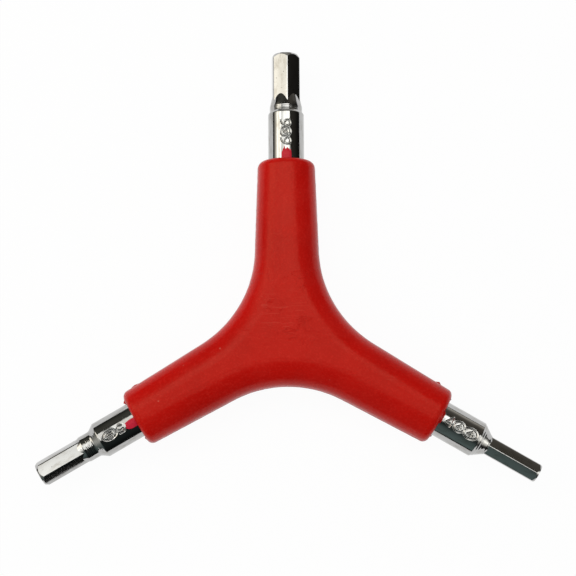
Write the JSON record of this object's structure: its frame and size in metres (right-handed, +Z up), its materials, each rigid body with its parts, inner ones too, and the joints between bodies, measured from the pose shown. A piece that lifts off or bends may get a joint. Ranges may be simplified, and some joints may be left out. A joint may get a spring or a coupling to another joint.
{
  "type": "y wrench",
  "caption": "Flat Y-shaped hex wrench: a moulded plastic handle holding chrome-plated hex keys of different sizes, one at the end of each arm.",
  "frame": {"origin": "centre of the Y on the flat land that the handle rests on", "axes": "+Z up out of the flat of the Y, +Y along the 6 mm key, and the 5 mm and 4 mm keys towards -X and +X, both 30 degrees below the X axis"},
  "size_m": [0.1093, 0.0956, 0.0124],
  "materials": {
    "handle_plastic": "satin moulded red plastic",
    "key_chrome": "bright chrome plate over forged steel"
  },
  "bodies": {
    "root": {"handle": "handle_plastic", "hex_key_6mm": "key_chrome", "hex_key_5mm": "key_chrome", "hex_key_4mm": "key_chrome"}
  },
  "joints": []
}
